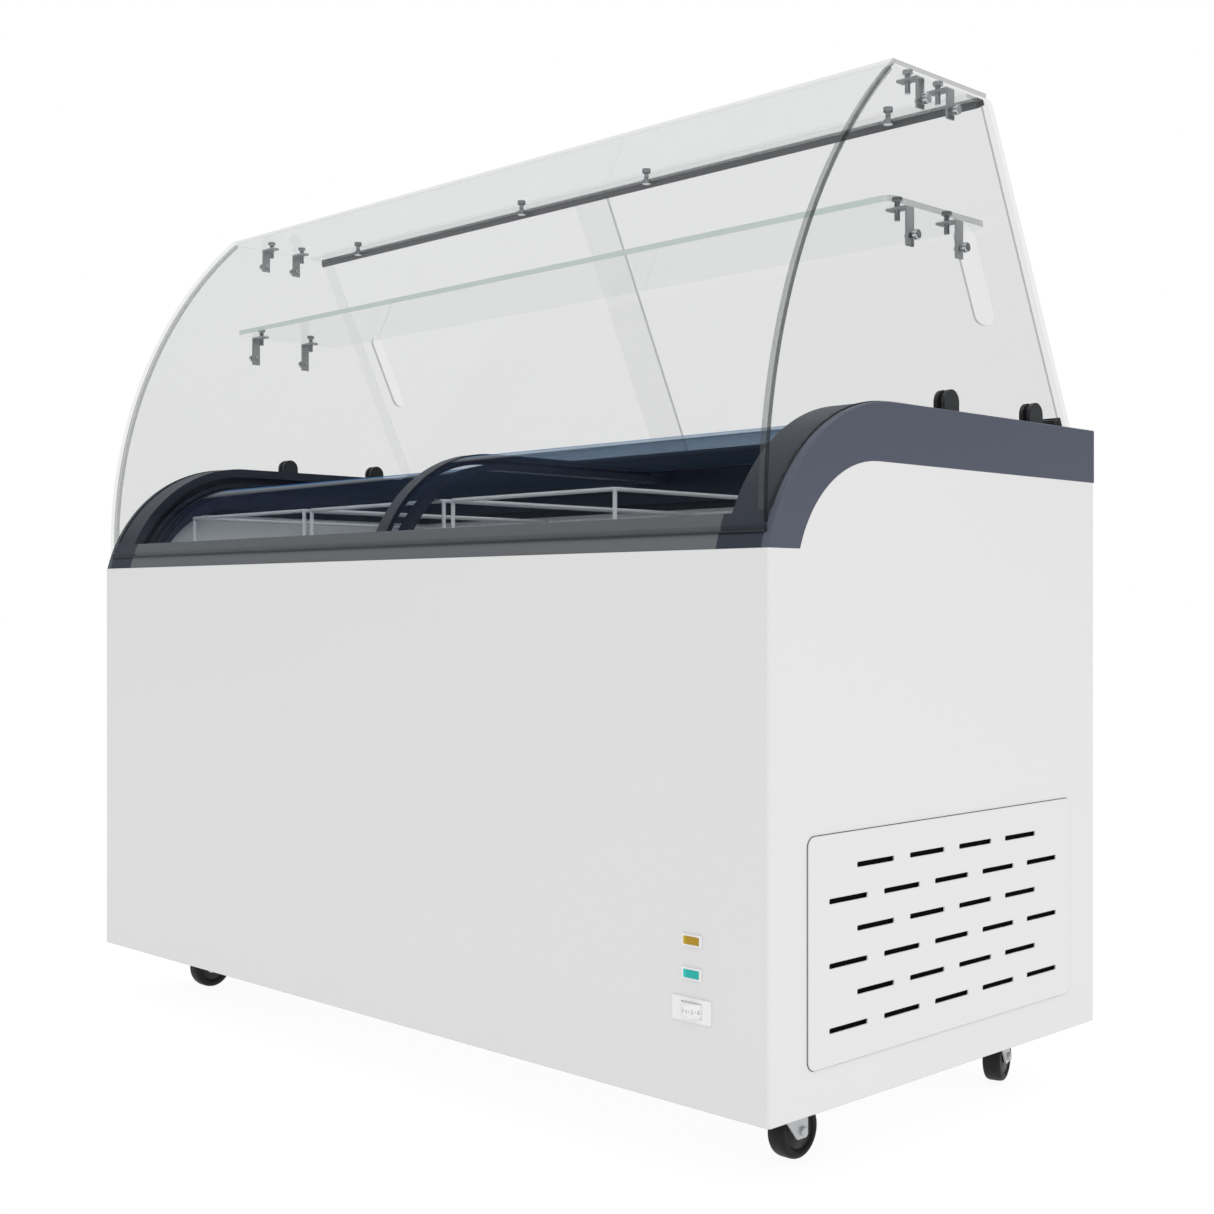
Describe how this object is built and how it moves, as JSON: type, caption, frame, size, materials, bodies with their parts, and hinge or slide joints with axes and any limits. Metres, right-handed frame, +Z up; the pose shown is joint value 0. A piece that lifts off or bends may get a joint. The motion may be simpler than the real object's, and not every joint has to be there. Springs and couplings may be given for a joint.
{
  "type": "ice cream dipping cabinet",
  "caption": "Chest freezer on castors with sliding curved glass lids, wire baskets and a bowed glass serving canopy with a shelf and sliding rear doors.",
  "frame": {"origin": "on the floor, at the centre of the cabinet's body", "axes": "+Z up, +X to the right along the cabinet as the customer sees it, -Y towards the customer, +Y towards the server"},
  "size_m": [1.482, 0.719, 1.333],
  "materials": {
    "white_paint": "semi-gloss powder coat",
    "galvanised": "galvanised",
    "foam": "rigid foam",
    "liner": "satin",
    "copper": "copper tube",
    "black_plastic": "moulded",
    "navy_plastic": "moulded, satin",
    "grey_fascia": "anodised",
    "white_plastic": "moulded",
    "amber_lens": "tinted",
    "green_lens": "tinted",
    "screw_steel": "zinc",
    "compressor_black": "gloss",
    "fin_aluminium": "plain",
    "white_wire": "coated wire",
    "clear_glass": "polished",
    "lid_glass": "polished",
    "bracket_steel": "satin",
    "chrome": "polished",
    "grey_track": "anodised",
    "castor_zinc": "zinc plated",
    "castor_tyre": "matte"
  },
  "bodies": {
    "cabinet": {"outer_casing": "white_paint", "base_pan": "galvanised", "foam_insulation": "foam", "inner_liner": "liner", "evaporator_coil": "copper", "opening_collar": "black_plastic", "rim_cap_right": "navy_plastic", "rim_cap_left": "navy_plastic", "front_fascia": "grey_fascia", "rear_top_cover": "navy_plastic", "service_grille": "white_paint", "grille_clips": "screw_steel", "lamp_bezels": "white_plastic", "amber_lamp_lens": "amber_lens", "green_lamp_lens": "green_lens", "thermostat_plate": "white_plastic", "compressor": "compressor_black", "condenser": "fin_aluminium", "condenser_fan_shroud": "galvanised", "basket_left": "white_wire", "basket_centre": "white_wire", "basket_right": "white_wire", "basket_rails": "galvanised", "front_glass": "clear_glass", "top_glass": "clear_glass", "side_pane_right": "clear_glass", "side_pane_left": "clear_glass", "shelf_glass": "clear_glass", "shelf_brackets": "bracket_steel", "top_brackets": "bracket_steel", "bracket_pins": "chrome", "bracket_bolts": "chrome", "canopy_clips": "black_plastic", "canopy_seals": "black_plastic", "lower_door_track": "black_plastic", "upper_door_track": "grey_track", "track_hanger": "clear_glass", "hanger_studs": "chrome", "castor_plates": "castor_zinc"},
    "left_lid": {"lid_glass_left": "lid_glass", "lid_frame_left": "navy_plastic"},
    "right_lid": {"lid_glass_right": "lid_glass", "lid_frame_right": "navy_plastic"},
    "left_rear_door": {"rear_door_left": "clear_glass"},
    "right_rear_door": {"rear_door_right": "clear_glass"},
    "thermostat_wheel": {"thermostat_thumbwheel": "white_plastic"},
    "condenser_fan": {"condenser_fan_blades": "black_plastic"},
    "castor_front_left": {"castor_fork_front_left": "castor_zinc", "castor_axle_front_left": "castor_zinc"},
    "wheel_front_left": {"castor_wheel_front_left": "castor_tyre"},
    "castor_front_right": {"castor_fork_front_right": "castor_zinc", "castor_axle_front_right": "castor_zinc"},
    "wheel_front_right": {"castor_wheel_front_right": "castor_tyre"},
    "castor_rear_left": {"castor_fork_rear_left": "castor_zinc", "castor_axle_rear_left": "castor_zinc"},
    "wheel_rear_left": {"castor_wheel_rear_left": "castor_tyre"},
    "castor_rear_right": {"castor_fork_rear_right": "castor_zinc", "castor_axle_rear_right": "castor_zinc"},
    "wheel_rear_right": {"castor_wheel_rear_right": "castor_tyre"}
  },
  "joints": [
    {"name": "left_lid_slide", "type": "slide", "parent": "cabinet", "child": "left_lid", "axis": [1, 0, 0], "range_m": [0, 0.655]},
    {"name": "right_lid_slide", "type": "slide", "parent": "cabinet", "child": "right_lid", "axis": [1, 0, 0], "range_m": [-0.665, 0]},
    {"name": "left_rear_door_slide", "type": "slide", "parent": "cabinet", "child": "left_rear_door", "axis": [1, 0, 0], "range_m": [0, 0.68]},
    {"name": "right_rear_door_slide", "type": "slide", "parent": "cabinet", "child": "right_rear_door", "axis": [1, 0, 0], "range_m": [-0.68, 0]},
    {"name": "thermostat_turn", "type": "hinge", "parent": "cabinet", "child": "thermostat_wheel", "pos_m": [0.626, -0.348, 0.1982], "axis": [0, 0, 1], "range_deg": [-135, 135]},
    {"name": "condenser_fan_spin", "type": "hinge", "parent": "cabinet", "child": "condenser_fan", "pos_m": [0.67, -0.06, 0.235], "axis": [1, 0, 0], "continuous": true},
    {"name": "castor_swivel_front_left", "type": "hinge", "parent": "cabinet", "child": "castor_front_left", "pos_m": [-0.651, -0.233, 0.078], "axis": [0, 0, 1], "continuous": true},
    {"name": "castor_roll_front_left", "type": "hinge", "parent": "castor_front_left", "child": "wheel_front_left", "pos_m": [-0.651, -0.203, 0.035], "axis": [1, 0, 0], "continuous": true},
    {"name": "castor_swivel_front_right", "type": "hinge", "parent": "cabinet", "child": "castor_front_right", "pos_m": [0.651, -0.233, 0.078], "axis": [0, 0, 1], "continuous": true},
    {"name": "castor_roll_front_right", "type": "hinge", "parent": "castor_front_right", "child": "wheel_front_right", "pos_m": [0.651, -0.203, 0.035], "axis": [1, 0, 0], "continuous": true},
    {"name": "castor_swivel_rear_left", "type": "hinge", "parent": "cabinet", "child": "castor_rear_left", "pos_m": [-0.651, 0.233, 0.078], "axis": [0, 0, 1], "continuous": true},
    {"name": "castor_roll_rear_left", "type": "hinge", "parent": "castor_rear_left", "child": "wheel_rear_left", "pos_m": [-0.651, 0.263, 0.035], "axis": [1, 0, 0], "continuous": true},
    {"name": "castor_swivel_rear_right", "type": "hinge", "parent": "cabinet", "child": "castor_rear_right", "pos_m": [0.651, 0.233, 0.078], "axis": [0, 0, 1], "continuous": true},
    {"name": "castor_roll_rear_right", "type": "hinge", "parent": "castor_rear_right", "child": "wheel_rear_right", "pos_m": [0.64173, 0.26153, 0.035], "axis": [0.9511, 0.309, 0], "continuous": true}
  ]
}
